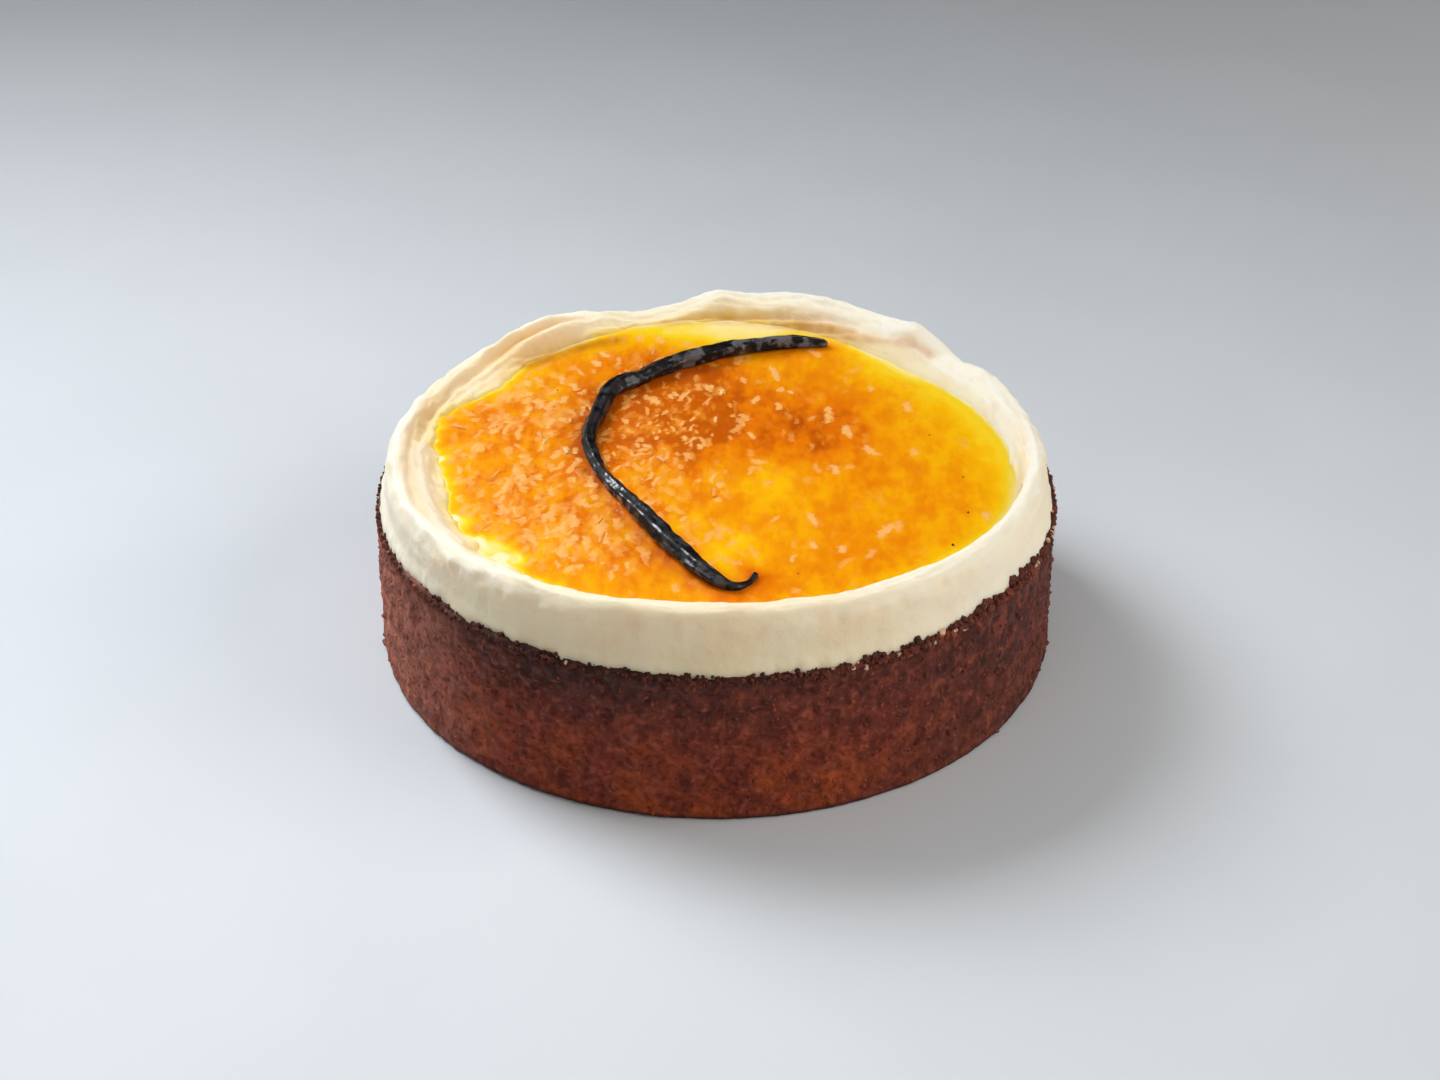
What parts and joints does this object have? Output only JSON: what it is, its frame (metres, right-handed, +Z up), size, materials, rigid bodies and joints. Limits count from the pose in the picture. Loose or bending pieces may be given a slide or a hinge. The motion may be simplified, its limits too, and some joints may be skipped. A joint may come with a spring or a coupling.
{
  "type": "olive oil cake",
  "caption": "Round cake: dark crumbly sponge, smooth cream with an uneven raised rim, a pool of glossy citrus jam and a curved dark vanilla pod on top.",
  "frame": {"origin": "centre of the sponge's flat base, on the surface that it stands on", "axes": "+Z up along the cake's axis; -Y towards the viewer's side, the side that the pod's hooked tip points to; +X to the viewer's right"},
  "size_m": [0.1594, 0.1595, 0.0521],
  "materials": {
    "sponge": "matt, open dark brown crumb",
    "cream": "smooth, soft satin ivory",
    "jam": "wet, glossy amber gel with fruit shreds",
    "vanilla_pod": "wrinkled, oily, nearly black"
  },
  "bodies": {
    "root": {"sponge": "sponge", "cream": "cream", "jam": "jam", "vanilla_pod": "vanilla_pod"}
  },
  "joints": []
}
